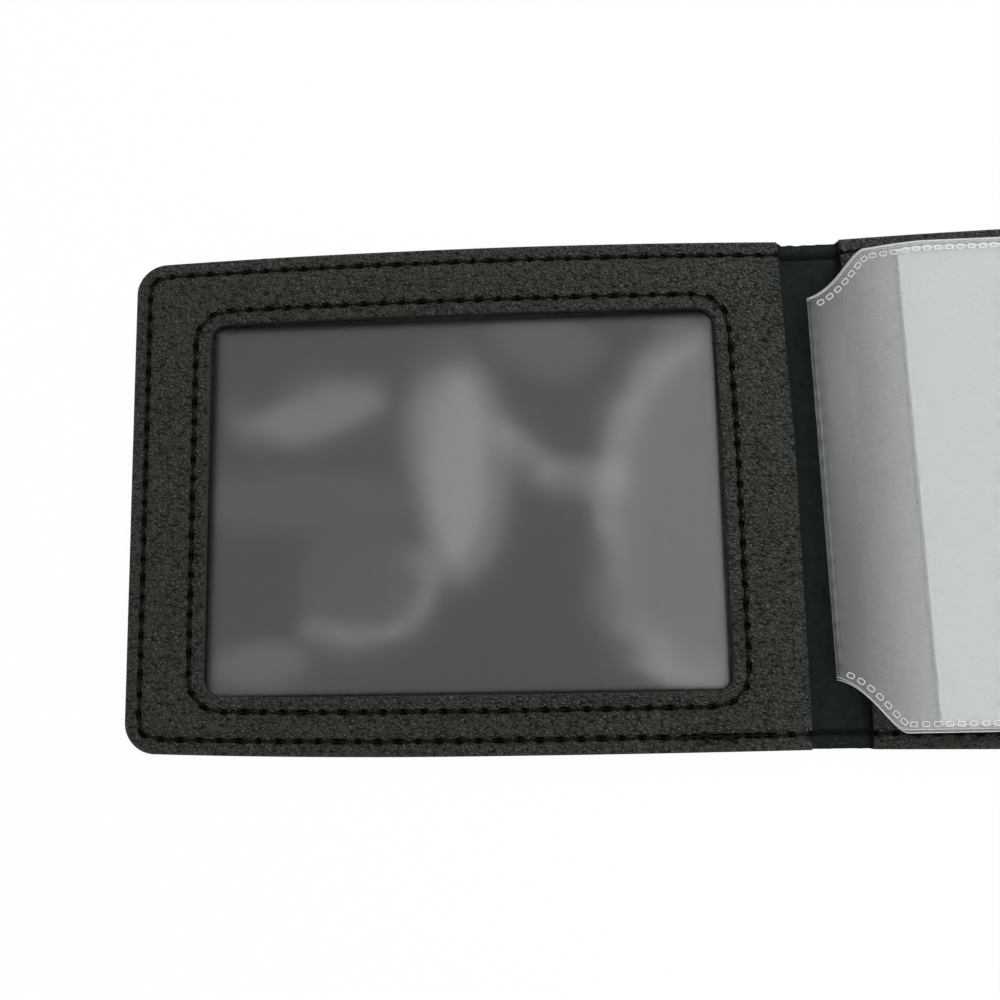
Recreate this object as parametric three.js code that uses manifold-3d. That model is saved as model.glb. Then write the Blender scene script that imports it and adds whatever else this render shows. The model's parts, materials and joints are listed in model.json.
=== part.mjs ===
// A bifold document holder lying open and flat, in millimetres.
// Two leather covers meet at a soft lined spine. A window panel with a clear film is sewn inside the left
// cover, a plain pocket panel inside the right one, and two clear pocket leaves are sewn into the spine.
// X runs from the left cover to the right one, Y along the spine and Z up, from under the spine's middle.

import * as THREE from 'three';
import { mergeVertices } from 'three/addons/utils/BufferGeometryUtils.js';
import Module from 'manifold-3d';

const wasm = await Module();
wasm.setup();

// Covers and panels
const COVER_HEIGHT = 75;
const PANEL_WIDTH = 98; // from the spine's edge to the free edge
const SPINE_WIDTH = 9;
const SPINE_SPLIT = 0.2; // between the halves of the spine, where the holder folds
const CORNER_RADIUS = 4.5;
const LEATHER = 0.8;
const LINING = 0.2;
const LAYER_GAP = 0.05; // between layers that are sewn flat together
const POCKET_GAP = 0.35; // between the lining and what lies over it, where papers go

// Window in the left panel
const WINDOW_WIDTH = 76;
const WINDOW_HEIGHT = 56;
const WINDOW_RADIUS = 2.5;
const WINDOW_SPINE_MARGIN = 10.3; // from the panel's edge at the spine
const WINDOW_BOTTOM_MARGIN = 8.5; // from the panel's lower edge
const WINDOW_FILM = 0.2;
const FILM_OVERLAP = 4.5; // of the film behind the panel, past the window's edge

// Sewing: a needle thread on the face, an under-thread on the back, both drawn into a pressed channel
const SEAM_INSET = 2.2; // from a free edge
const WINDOW_SEAM_OFFSET = 2.2; // outside the window's edge
const STITCH = 2.9;
const THREAD = 0.36;
const CHANNEL_WIDTH = 1;
const CHANNEL_DEPTH = 0.48;
const THREAD_CLEARANCE = 0.04; // to the floor of the channel
const STITCH_RISE = 0.12; // of a stitch above the leather, between two needle holes
const SEAM_END_GAP = 1.2; // between the two ends of the window's seam
const FLAT_THREAD = 0.2; // height of an under-thread that lies pressed flat in a pocket

// Clear leaves with a pocket film on both faces
const LEAF_TOP_MARGIN = 1.7; // from the covers' top edge
const LEAF_BOTTOM_MARGIN = 2.2;
const LEAF_FREE_MARGIN = 5.5;
const LEAF_CORNER_RADIUS = 3;
const OGEE_RUN = 7.7; // of the S-shaped shoulders, away from the spine
const OGEE_RISE = 7.6; // of the shoulders, along the spine
const OGEE_HOLLOW = 0.25; // share of the rise that the hollow beside the fold leans by
const OGEE_SWELL = 0.7; // share of the run at which the swell turns into the straight edge
const POCKET_MOUTH = 13.2; // from the spine's middle to the pocket films
const LEAF_SHEET = 0.2;
const LEAF_FILM = 0.15;
const LEAF_GAP = 0.2; // between the two leaves
const LEAF_CLEARANCE = 0.3; // between the leaves and a panel
const LEAF_START = 0.4; // from the fold's axis

// Binding: the leaves' margins, sewn to the spine beside its middle
const BINDING_FOOT = 2;
const BINDING_SHEET = 0.4; // both margins together
const BINDING_CLEARANCE = 0.15; // to the leaves as they turn
const BINDING_SEAM = 0.9; // from the spine's middle
const BINDING_END = 1.5; // from the margin's ends to the first needle hole

// Facets, and how far a cutting shape runs past the face that it cuts
const ARC_STEPS = 4;
const OGEE_STEPS = 9;
const OVERCUT = 1;

// Heights of the layers, from the outer face up
const HALF_HEIGHT = COVER_HEIGHT / 2;
const PANEL_INNER = SPINE_WIDTH / 2;
const PANEL_OUTER = PANEL_INNER + PANEL_WIDTH;
const COVER_INNER = SPINE_SPLIT / 2;
const LINING_BASE = LEATHER + LAYER_GAP;
const LINING_TOP = LINING_BASE + LINING;
const FILM_BASE = LINING_TOP + POCKET_GAP;
const PANEL_BASE = FILM_BASE + WINDOW_FILM + LAYER_GAP;
const PANEL_TOP = PANEL_BASE + LEATHER;

// The covers fold and the leaves turn about one axis, at half the height of the closed holder
const LEAF_THICKNESS = LEAF_SHEET + 2 * (LAYER_GAP + LEAF_FILM);
const STACK_HEIGHT = 2 * LEAF_THICKNESS + LEAF_GAP;
const AXIS_HEIGHT = PANEL_TOP + LEAF_CLEARANCE + STACK_HEIGHT / 2;

// Outline of the leaves
const LEAF_TOP = HALF_HEIGHT - LEAF_TOP_MARGIN;
const LEAF_BOTTOM = -HALF_HEIGHT + LEAF_BOTTOM_MARGIN;
const LEAF_OUTER = PANEL_OUTER - LEAF_FREE_MARGIN;
const FOLD_TOP = LEAF_TOP - OGEE_RISE;
const FOLD_BOTTOM = LEAF_BOTTOM + OGEE_RISE;

// Middle of the window, in the left cover's own frame, whose +X and +Y run to its free and lower edges
const WINDOW_X = PANEL_INNER + WINDOW_SPINE_MARGIN + WINDOW_WIDTH / 2;
const WINDOW_Y = HALF_HEIGHT - WINDOW_BOTTOM_MARGIN - WINDOW_HEIGHT / 2;

const leather = () => new THREE.MeshStandardMaterial({ color: 0x343630, roughness: 0.62, metalness: 0 });
const liningCloth = () => new THREE.MeshStandardMaterial({ color: 0x141c1a, roughness: 0.95, metalness: 0 });
const sewingThread = () => new THREE.MeshStandardMaterial({ color: 0x0d0f0c, roughness: 0.8, metalness: 0 });
const clearFilm = () => new THREE.MeshStandardMaterial({
  color: 0xc2c8c7,
  roughness: 0.12,
  metalness: 0,
  transparent: true,
  opacity: 0.35,
});

function toSolid(geometry) {
  geometry.deleteAttribute('normal');
  geometry.deleteAttribute('uv');
  const merged = mergeVertices(geometry);
  return new wasm.Manifold(new wasm.Mesh({
    numProp: 3,
    vertProperties: merged.attributes.position.array,
    triVerts: new Uint32Array(merged.index.array),
  }));
}

function toGeometry(solid) {
  const mesh = solid.getMesh();
  const geometry = new THREE.BufferGeometry();
  geometry.setAttribute('position', new THREE.BufferAttribute(mesh.vertProperties, 3));
  geometry.setIndex(new THREE.BufferAttribute(mesh.triVerts, 1));
  return geometry;
}

function cutAway(geometry, tools) {
  const solid = tools.reduce((body, tool) => body.subtract(tool), toSolid(geometry));
  return toGeometry(solid);
}

// A flat sheet of a given outline, from a height up
function plate(shape, base, thickness, curveSegments = ARC_STEPS) {
  const geometry = new THREE.ExtrudeGeometry(shape, { depth: thickness, bevelEnabled: false, curveSegments });
  return geometry.translate(0, 0, base);
}

// The free edges of a cover, drawn in by an inset: along the bottom, round the corners and back along the top
function flapOutline(inner, inset) {
  const outer = PANEL_OUTER - inset;
  const half = HALF_HEIGHT - inset;
  const radius = Math.max(CORNER_RADIUS - inset, THREAD);
  const outline = new THREE.Shape();
  outline.moveTo(inner, -half);
  outline.lineTo(outer - radius, -half);
  outline.absarc(outer - radius, -half + radius, radius, -Math.PI / 2, 0);
  outline.absarc(outer - radius, half - radius, radius, 0, Math.PI / 2);
  outline.lineTo(inner, half);
  return outline;
}

// The window's edge, moved outwards by an offset, from a start on one long side all the way round
function windowOutline(offset, start = 0) {
  const halfWidth = WINDOW_WIDTH / 2 + offset;
  const half = WINDOW_HEIGHT / 2 + offset;
  const radius = WINDOW_RADIUS + offset;
  const right = WINDOW_X + halfWidth - radius;
  const left = WINDOW_X - halfWidth + radius;
  const far = WINDOW_Y + half - radius;
  const near = WINDOW_Y - half + radius;
  const outline = new THREE.Shape();
  outline.moveTo(left + start, near - radius);
  outline.lineTo(right, near - radius);
  outline.absarc(right, near, radius, -Math.PI / 2, 0);
  outline.absarc(right, far, radius, 0, Math.PI / 2);
  outline.absarc(left, far, radius, Math.PI / 2, Math.PI);
  outline.absarc(left, near, radius, Math.PI, 1.5 * Math.PI);
  return outline;
}

// The channel that a row of stitches presses into a face: what lies between two outlines
const FACE_CHANNEL = PANEL_TOP - CHANNEL_DEPTH;
const BACK_CHANNEL = -OVERCUT;
const CUT_HEIGHT = CHANNEL_DEPTH + OVERCUT;

function channel(outside, inside, base) {
  return toSolid(plate(outside, base, CUT_HEIGHT)).subtract(toSolid(plate(inside, base, CUT_HEIGHT)));
}

// Both outlines of an edge channel run past the cut edge near the spine, so the channel is open there
function edgeChannel(inner, base) {
  const outside = flapOutline(inner - OVERCUT, SEAM_INSET - CHANNEL_WIDTH / 2);
  const inside = flapOutline(inner - 2 * OVERCUT, SEAM_INSET + CHANNEL_WIDTH / 2);
  return channel(outside, inside, base);
}

function windowChannel() {
  const outside = windowOutline(WINDOW_SEAM_OFFSET + CHANNEL_WIDTH / 2);
  const inside = windowOutline(WINDOW_SEAM_OFFSET - CHANNEL_WIDTH / 2);
  return channel(outside, inside, FACE_CHANNEL);
}

function windowOpening() {
  return toSolid(plate(windowOutline(0), PANEL_BASE - OVERCUT, LEATHER + 2 * OVERCUT));
}

// A thread's route as straight runs between given points
class ThreadRun extends THREE.Curve {
  constructor(points) {
    super();
    this.points = points;
  }

  getPoint(t, target = new THREE.Vector3()) {
    const place = t * (this.points.length - 1);
    const from = Math.min(Math.floor(place), this.points.length - 2);
    return target.lerpVectors(this.points[from], this.points[from + 1], place - from);
  }

  getUtoTmapping(u) {
    return u;
  }
}

function thread(points, across = THREAD, height = THREAD) {
  const section = new THREE.Shape([
    new THREE.Vector2(height / 2, 0),
    new THREE.Vector2(0, across / 2),
    new THREE.Vector2(-height / 2, 0),
    new THREE.Vector2(0, -across / 2),
  ]);
  const extrudePath = new ThreadRun(points);
  return new THREE.ExtrudeGeometry(section, { steps: points.length - 1, extrudePath, bevelEnabled: false });
}

// Heights of a needle thread's middle: drawn down at a needle hole, and raised between two holes
const IN_CHANNEL = {
  hole: PANEL_TOP - CHANNEL_DEPTH + THREAD_CLEARANCE + THREAD / 2,
  crest: PANEL_TOP + STITCH_RISE - THREAD / 2,
};
const onSheet = (face) => ({
  hole: face + THREAD_CLEARANCE + THREAD / 2,
  crest: face + STITCH_RISE + THREAD / 2,
});

// A row of lock stitches along a route, as points at the needle holes and half-way between them
function stitches(route, level) {
  const halves = 2 * Math.max(1, Math.round(route.getLength() / STITCH));
  const points = [];
  for (let half = 0; half <= halves; half += 1) {
    const place = route.getPointAt(half / halves);
    points.push(new THREE.Vector3(place.x, place.y, half % 2 === 1 ? level.crest : level.hole));
  }
  return points;
}

// The edge seam crosses the spine on the lining, steps up beside the panel and goes round in its channel
function edgeSeam() {
  const step = PANEL_INNER - THREAD;
  const half = HALF_HEIGHT - SEAM_INSET;
  const bottomStart = new THREE.Vector2(COVER_INNER + THREAD, -half);
  const topEnd = new THREE.Vector2(COVER_INNER + THREAD, half);
  const bottomRun = new THREE.LineCurve(bottomStart, new THREE.Vector2(step, -half));
  const topRun = new THREE.LineCurve(new THREE.Vector2(step, half), topEnd);
  return thread([
    ...stitches(bottomRun, onSheet(LINING_TOP)),
    ...stitches(flapOutline(step, SEAM_INSET), IN_CHANNEL),
    ...stitches(topRun, onSheet(LINING_TOP)),
  ]);
}

// The under-thread of the same row, pulled straight along the back
function underThread(route, middle, across, height) {
  const points = route.getPoints(ARC_STEPS).map((p) => new THREE.Vector3(p.x, p.y, middle));
  return thread(points, across, height);
}

// Outline of a clear leaf: S-shaped shoulders beside the fold, rounded corners at the free edge
function leafOutline() {
  const corner = LEAF_OUTER - LEAF_CORNER_RADIUS;
  const shoulder = LEAF_START + OGEE_RUN;
  const swell = LEAF_START + OGEE_RUN / 2;
  const crest = LEAF_START + OGEE_SWELL * OGEE_RUN;
  const foot = OGEE_HOLLOW * OGEE_RISE;
  const outline = new THREE.Shape();
  outline.moveTo(LEAF_START, FOLD_BOTTOM);
  outline.bezierCurveTo(swell, FOLD_BOTTOM - foot, crest, LEAF_BOTTOM, shoulder, LEAF_BOTTOM);
  outline.absarc(corner, LEAF_BOTTOM + LEAF_CORNER_RADIUS, LEAF_CORNER_RADIUS, -Math.PI / 2, 0);
  outline.absarc(corner, LEAF_TOP - LEAF_CORNER_RADIUS, LEAF_CORNER_RADIUS, 0, Math.PI / 2);
  outline.lineTo(shoulder, LEAF_TOP);
  outline.bezierCurveTo(crest, LEAF_TOP, swell, FOLD_TOP + foot, LEAF_START, FOLD_TOP);
  return outline;
}

// A pocket film ends in a straight mouth, and is cut with the leaf on its other three sides
function leafFilmOutline() {
  const corner = LEAF_OUTER - LEAF_CORNER_RADIUS;
  const outline = new THREE.Shape();
  outline.moveTo(POCKET_MOUTH, LEAF_BOTTOM);
  outline.lineTo(corner, LEAF_BOTTOM);
  outline.absarc(corner, LEAF_BOTTOM + LEAF_CORNER_RADIUS, LEAF_CORNER_RADIUS, -Math.PI / 2, 0);
  outline.absarc(corner, LEAF_TOP - LEAF_CORNER_RADIUS, LEAF_CORNER_RADIUS, 0, Math.PI / 2);
  outline.lineTo(POCKET_MOUTH, LEAF_TOP);
  return outline;
}

// The leaves' sewn margin: a foot on the lining and a web that stands up to the fold
function bindingMargin() {
  const base = LINING_TOP + LAYER_GAP;
  const sweep = Math.hypot(LEAF_START, STACK_HEIGHT / 2);
  const top = AXIS_HEIGHT - sweep - BINDING_CLEARANCE;
  const profile = new THREE.Shape();
  profile.moveTo(COVER_INNER, base);
  profile.lineTo(COVER_INNER + BINDING_FOOT, base);
  profile.lineTo(COVER_INNER + BINDING_FOOT, base + BINDING_SHEET);
  profile.lineTo(COVER_INNER + BINDING_SHEET, base + BINDING_SHEET);
  profile.lineTo(COVER_INNER + BINDING_SHEET, top);
  profile.lineTo(COVER_INNER, top);
  const length = FOLD_TOP - FOLD_BOTTOM;
  const geometry = new THREE.ExtrudeGeometry(profile, { depth: length, bevelEnabled: false });
  return geometry.rotateX(Math.PI / 2).translate(0, FOLD_TOP, 0);
}

function bindingRoute() {
  return new THREE.LineCurve(
    new THREE.Vector2(BINDING_SEAM, FOLD_BOTTOM + BINDING_END),
    new THREE.Vector2(BINDING_SEAM, FOLD_TOP - BINDING_END),
  );
}

// A straight channel under the spine for the binding's under-thread
function bindingChannel() {
  const outline = new THREE.Shape();
  outline.moveTo(BINDING_SEAM - CHANNEL_WIDTH / 2, FOLD_BOTTOM);
  outline.lineTo(BINDING_SEAM + CHANNEL_WIDTH / 2, FOLD_BOTTOM);
  outline.lineTo(BINDING_SEAM + CHANNEL_WIDTH / 2, FOLD_TOP);
  outline.lineTo(BINDING_SEAM - CHANNEL_WIDTH / 2, FOLD_TOP);
  return toSolid(plate(outline, BACK_CHANNEL, CUT_HEIGHT));
}

function addPiece(group, name, geometry, material) {
  const mesh = new THREE.Mesh(geometry, material);
  mesh.name = name;
  group.add(mesh);
}

// What both covers have: the outer leather, the lining and the edge seam's two threads
function addCover(group, side, underChannels) {
  const outer = cutAway(plate(flapOutline(COVER_INNER, 0), 0, LEATHER), underChannels);
  addPiece(group, `cover_${side}`, outer, leather());
  addPiece(group, `lining_${side}`, plate(flapOutline(COVER_INNER, 0), LINING_BASE, LINING), liningCloth());
  addPiece(group, `seam_thread_${side}`, edgeSeam(), sewingThread());
  const backRoute = flapOutline(COVER_INNER + THREAD, SEAM_INSET);
  const under = underThread(backRoute, CHANNEL_DEPTH / 2, THREAD, THREAD);
  addPiece(group, `seam_underthread_${side}`, under, sewingThread());
}

function leftCover() {
  const group = new THREE.Group();
  addCover(group, 'left', [edgeChannel(COVER_INNER, BACK_CHANNEL)]);
  const film = plate(windowOutline(FILM_OVERLAP), FILM_BASE, WINDOW_FILM);
  addPiece(group, 'window_film', film, clearFilm());
  const cuts = [windowOpening(), windowChannel(), edgeChannel(PANEL_INNER, FACE_CHANNEL)];
  const panel = cutAway(plate(flapOutline(PANEL_INNER, 0), PANEL_BASE, LEATHER), cuts);
  addPiece(group, 'window_panel', panel, leather());
  const route = windowOutline(WINDOW_SEAM_OFFSET, SEAM_END_GAP);
  addPiece(group, 'window_thread', thread(stitches(route, IN_CHANNEL)), sewingThread());
  const under = underThread(route, FILM_BASE - LAYER_GAP - FLAT_THREAD / 2, THREAD, FLAT_THREAD);
  addPiece(group, 'window_underthread', under, sewingThread());
  group.rotation.z = Math.PI;
  return group;
}

function rightCover() {
  const group = new THREE.Group();
  addCover(group, 'right', [edgeChannel(COVER_INNER, BACK_CHANNEL), bindingChannel()]);
  const cuts = [edgeChannel(PANEL_INNER, FACE_CHANNEL)];
  const panel = cutAway(plate(flapOutline(PANEL_INNER, 0), PANEL_BASE, LEATHER), cuts);
  addPiece(group, 'pocket_panel', panel, leather());
  addPiece(group, 'binding_margin', bindingMargin(), clearFilm());
  const route = bindingRoute();
  const footTop = LINING_TOP + LAYER_GAP + BINDING_SHEET;
  addPiece(group, 'binding_thread', thread(stitches(route, onSheet(footTop))), sewingThread());
  const under = underThread(route, CHANNEL_DEPTH / 2, THREAD, THREAD);
  addPiece(group, 'binding_underthread', under, sewingThread());
  return group;
}

// A leaf is a clear sheet between two pocket films, built up from its lowest face
function leaf(name, base) {
  const group = new THREE.Group();
  const sheetBase = base + LEAF_FILM + LAYER_GAP;
  const frontBase = sheetBase + LEAF_SHEET + LAYER_GAP;
  addPiece(group, `${name}_back_film`, plate(leafFilmOutline(), base, LEAF_FILM), clearFilm());
  addPiece(group, `${name}_sheet`, plate(leafOutline(), sheetBase, LEAF_SHEET, OGEE_STEPS), clearFilm());
  addPiece(group, `${name}_front_film`, plate(leafFilmOutline(), frontBase, LEAF_FILM), clearFilm());
  return group;
}

const holder = new THREE.Group();
const stackBase = AXIS_HEIGHT - STACK_HEIGHT / 2;
holder.add(leftCover());
holder.add(rightCover());
holder.add(leaf('leaf_2', stackBase));
holder.add(leaf('leaf_1', stackBase + LEAF_THICKNESS + LEAF_GAP));

export default holder;
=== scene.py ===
# A bifold holder for a licence and papers, lying open: a leathercloth cover with a dark cloth lining,
# a panel with a clear window sewn in on the left, a plain pocket panel on the right, and two clear
# pocket leaves at the spine.
import json
import math
import random
from bisect import bisect_left
from functools import partial

import bmesh
import bpy
from mathutils import Matrix, Vector, kdtree, noise


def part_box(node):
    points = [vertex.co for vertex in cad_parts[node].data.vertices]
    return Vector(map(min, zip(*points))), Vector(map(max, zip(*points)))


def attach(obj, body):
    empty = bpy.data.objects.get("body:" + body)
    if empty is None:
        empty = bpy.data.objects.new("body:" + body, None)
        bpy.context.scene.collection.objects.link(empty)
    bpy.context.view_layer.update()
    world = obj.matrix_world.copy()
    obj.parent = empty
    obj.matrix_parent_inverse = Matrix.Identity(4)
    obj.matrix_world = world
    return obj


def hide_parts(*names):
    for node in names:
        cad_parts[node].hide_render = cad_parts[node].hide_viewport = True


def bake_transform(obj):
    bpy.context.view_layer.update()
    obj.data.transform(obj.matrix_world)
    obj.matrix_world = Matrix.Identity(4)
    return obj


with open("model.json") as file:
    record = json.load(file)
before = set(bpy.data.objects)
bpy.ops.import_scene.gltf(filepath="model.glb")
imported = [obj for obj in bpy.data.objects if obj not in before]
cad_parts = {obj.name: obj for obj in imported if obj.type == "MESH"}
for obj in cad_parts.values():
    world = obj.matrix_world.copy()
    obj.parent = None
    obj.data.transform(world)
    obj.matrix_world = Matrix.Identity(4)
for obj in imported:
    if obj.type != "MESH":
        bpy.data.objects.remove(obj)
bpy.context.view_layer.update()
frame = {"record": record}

MM = 0.001


def node_box(node):
    """A CAD node's lowest and highest corners, in millimetres."""
    low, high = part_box(node)
    return low / MM, high / MM


# Sizes of the cover and panels, in millimetres, from the frame
cover_low, cover_high = node_box("cover_right")
lining_low, lining_high = node_box("lining_right")
panel_low, panel_high = node_box("pocket_panel")
film_low, film_high = node_box("window_film")
FREE_EDGE = panel_high.x
SPINE_EDGE = panel_low.x
HALF_HEIGHT = panel_high.y
HINGE_HEIGHT = frame["record"]["behaviour"]["joints"][0]["pos_m"][2] / MM

# Sizes that the part is drawn with, in millimetres
CORNER_RADIUS = 4.5
WINDOW_RADIUS = 2.5
FILM_OVERLAP = 4.5
SEAM_INSET = 2.2
WINDOW_SEAM = 2.2
STITCH = 2.9
THREAD = 0.36
LEAF_START = 0.4
LEAF_CORNER_RADIUS = 3
OGEE_START = -0.3
OGEE_RUN = 8.8
OGEE_RISE = 7.4
OGEE_TURNS = [(0.5, 0.15), (0.75, 0.9)]

# The window's cut edge
WINDOW_LEFT = film_low.x + FILM_OVERLAP
WINDOW_RIGHT = film_high.x - FILM_OVERLAP
WINDOW_LOW = film_low.y + FILM_OVERLAP
WINDOW_HIGH = film_high.y - FILM_OVERLAP

# How the leathercloth and lining lie: millimetres, slopes and counts
EDGE_ROUND = [(0.08, 0.14), (0.14, 0.1), (0.2, 0.04)]
SEAM_PRESS = [(0.2, -0.02), (0.2, -0.06), (0.2, -0.08)]
FACE_BORDER = [(0.6, 0), (0.7, 0)]
RIM_BORDER = 0.6
OUTLINE_STEP = 0.36
CORNER_STEPS = 14
RUN_OUT = 8
PANEL_DROP = panel_low.z - lining_high.z - 0.03
SETTLE_RUN = 4.4
RIPPLE = 0.06
RIPPLE_RUN = 16
HEAD_BOW = 0.9
FOOT_BOW = 0.33
FOOT_LIFT = 0.7
SIDE_BOW = 0.42
SIDE_LEAN = 0.0105
ASKEW_REACH = 12
ASKEW_OUT = 0.5
ASKEW_BACK = 0.8
ASKEW_START = 3
ASKEW_RUN = 34
SPINE_STEP = 0.6
DRAW_RUN = 9
HEAD_DRAW = 0.5
FOOT_DRAW = 0.15
BINDING_PRESS = 0.4
BINDING_GROOVE = 0.32
GROOVE_CUTS = (-0.5, -0.25, 0, 0.25, 0.5)
HEM_CUT = 0.35
HEM_CUTS = 7
HEM_RISE = 0.3
HEM_OFF = 0.95
HEM_WIDTH = 0.5
FIBRE_ROOT = 0.035
FIBRE_TIP = 0.008

# The loose fibres: each row's end of the spine, count and where most lie, as a share of the spine's half
# width, and the limits of a fibre's tilt in degrees and its length in millimetres
FIBRE_ROWS = [(1, 8, 0.2), (-1, 24, -0.85)]
FIBRE_TILT = (50, 80)
FIBRE_LENGTH = (0.5, 1.3)

# The seams, in millimetres
RUN_STEP = 0.1
HOLE_DEPTH = 0.34
HOLE_LENGTH = 0.85
HOLE_WIDTH = 0.48
CHANNEL_WIDTH = 0.3
STITCH_SINK = 0.34
STITCH_STRAY = 0.07

# The back tack: each stitch's count along the seam and how far it lies off the line in millimetres, and
# each cut thread end's count, turn in radians and length in stitches
TACK_STITCHES = [(3, 0.2), (4, -0.18), (5, 0.15)]
CUT_ENDS = [(4, -0.55, 0.75), (5, -1.1, 0.4)]

# How the clear film lies: millimetres, slopes and counts
RIM_SHADE = 0.4
RIM_SHADE_WIDE = 0.9
COCKLE = 0.05
LEAF_SHIFT = -0.5
LEAF_LEAN = 0.014
LEAF_CLIMB = 0.004
LEAF_ROOT = HINGE_HEIGHT - 0.3
LEAF_FOLD = -0.15
FOLD_RUN = 0.4
FOLD_COLUMNS = 6
HEAD_ROLL = 0.9
FILM_SHORT = 1.0
LEAF_STAGGER = 0.4
EDGE_BAND = 0.08
MARGIN_THICKNESS = 0.2
WELD_PITCH = 1.6
WELD_INSET = 1.2
WELD_LENGTH = 1.02
WELD_WIDTH = 0.74
WELD_ROUND = 0.2
WELD_RIM = 0.09
WELD_RISE = 0.05

# How fine the films' grids are, in columns and rows
WINDOW_GRID = (170, 130)
SHEET_GRID = (150, 130)
FILM_GRID = (80, 60)
MARGIN_GRID = (24, 120)

# Shares of 1: how uneven the needle holes are, how much painted shade falls in the channel between them,
# how much painted shade the binding puts on the leaves' fold at its needle holes, how faint a weld mark is
# where there is no pocket film, and the film's least gloss
HOLE_PULL = 0.25
CHANNEL_SHADE = 0.25
PUCKER_SHADE = 0.4
BARE_WELD = 0.2
FACING_GLOSS = 0.045


# Small tools
def smooth(share):
    """An even start and end between 0 and 1."""
    share = min(1, max(0, share))
    return share * share * (3 - 2 * share)


def bell(distance, width):
    """1 at the middle, falling away to nothing past about twice the width."""
    return math.exp(-((distance / width) ** 2))


def mirrored(bands):
    """Bands of an edge or channel in the other direction."""
    return [(step, -rise) for step, rise in reversed(bands)]


def total_width(bands):
    """How wide some bands are together."""
    return sum(step for step, _ in bands)


def wave(x, y, layer):
    """Smooth noise in plan, on one of many layers."""
    return noise.noise(Vector((x, y, layer)))


def pick(piece):
    """Selects one piece alone."""
    bpy.ops.object.select_all(action="DESELECT")
    piece.select_set(True)
    bpy.context.view_layer.objects.active = piece


def start(add, name, place=(0, 0, 0), stretch=(1, 1, 1), **settings):
    """Adds a primitive at its place and size, and opens it for editing."""
    bpy.ops.object.select_all(action="DESELECT")
    add(location=place, **settings)
    piece = bpy.context.object
    piece.name = name
    piece.scale = stretch
    bpy.ops.object.transform_apply()
    bpy.ops.object.mode_set(mode="EDIT")
    return piece


def start_sheet(name, place, across, up):
    """A flat rectangle, open for editing."""
    return start(bpy.ops.mesh.primitive_plane_add, name, place, (across, up, 1), size=1)


def close():
    """Ends the editing of a piece."""
    bpy.ops.object.mode_set(mode="OBJECT")


def editing():
    """The mesh that is open for editing."""
    return bmesh.from_edit_mesh(bpy.context.edit_object.data)


def choose(kind, test):
    """Selects only the points, edges or faces that pass a test."""
    bpy.ops.mesh.select_mode(type=kind)
    bpy.ops.mesh.select_all(action="DESELECT")
    mesh = editing()
    for item in {"VERT": mesh.verts, "EDGE": mesh.edges, "FACE": mesh.faces}[kind]:
        item.select_set(test(item))
    bmesh.update_edit_mesh(bpy.context.edit_object.data)


def round_corners(radius, segments=CORNER_STEPS, test=lambda point: True):
    """Rounds the corners that pass a test."""
    choose("VERT", test)
    bpy.ops.mesh.bevel(offset=radius, segments=segments, affect="VERTICES")


def inset_bands(bands):
    """Insets the face by one band after another, each with its width and its rise."""
    choose("FACE", lambda face: True)
    for step, rise in bands:
        bpy.ops.mesh.inset(thickness=step, depth=rise)


def face_outwards():
    """Turns every face outwards."""
    bpy.ops.mesh.select_all(action="SELECT")
    bpy.ops.mesh.normals_make_consistent(inside=False)


def shorten_edges(step):
    """Halves the long edges of an outline until none is longer than a step."""
    while any(edge.calc_length() > step for edge in editing().edges):
        choose("EDGE", lambda edge: edge.calc_length() > step)
        bpy.ops.mesh.subdivide(number_cuts=1)


def cut_across(places):
    """Cuts the piece open for editing across some places."""
    for x in places:
        bpy.ops.mesh.select_all(action="SELECT")
        bpy.ops.mesh.bisect(plane_co=(x, 0, 0), plane_no=(1, 0, 0))


def apply_modifier(piece, kind, **settings):
    """Finishes a piece with one modifier."""
    modifier = piece.modifiers.new(kind.lower(), kind)
    for name, value in settings.items():
        setattr(modifier, name, value)
    pick(piece)
    bpy.ops.object.modifier_apply(modifier=modifier.name)


def marked_points(piece, name):
    """Each point of a piece, with a new mark of that name for its finish to read."""
    marks = piece.data.attributes.new(name, "FLOAT", "POINT")
    return zip(piece.data.vertices, marks.data)


def bow_edges(piece):
    """Bows the sewn edges out between the corners of each half, and draws in the corners at the foot."""
    half = (FREE_EDGE - SPINE_EDGE) / 2
    for vertex in piece.data.vertices:
        x, y = vertex.co.x, vertex.co.y
        off_middle = (abs(x) - SPINE_EDGE - half) / half
        bow = HEAD_BOW if y > 0 else FOOT_BOW
        bow *= max(0, 1 - off_middle**2)
        if y < 0:
            bow -= FOOT_LIFT * max(0, off_middle) ** 2
        vertex.co.y += bow * y / HALF_HEIGHT
        vertex.co.x += (SIDE_BOW + SIDE_LEAN * y) * (x / FREE_EDGE) ** 3


def lean_spine_side(piece):
    """Lets the spine side of the window's panel lean: it was sewn in a little askew."""
    reach = -SPINE_EDGE - WINDOW_RIGHT + ASKEW_REACH
    for vertex in piece.data.vertices:
        share = smooth((vertex.co.x + SPINE_EDGE + reach) / reach)
        vertex.co.x += share * (ASKEW_OUT - ASKEW_BACK * smooth((vertex.co.y - ASKEW_START) / ASKEW_RUN))


def hand_over(piece, finishes, nodes=(), body=None, angle=45):
    """Hands a closed piece over: smooth shading, metres and finishes.
    It moves with its body, or has its place baked into its mesh if it has none."""
    pick(piece)
    bpy.ops.object.shade_smooth_by_angle(angle=math.radians(angle))
    piece.data.transform(Matrix.Scale(MM, 4))
    for finish in finishes:
        piece.data.materials.append(finish)
    if body:
        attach(piece, body)
    else:
        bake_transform(piece)
    if nodes:
        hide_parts(*nodes)


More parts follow.
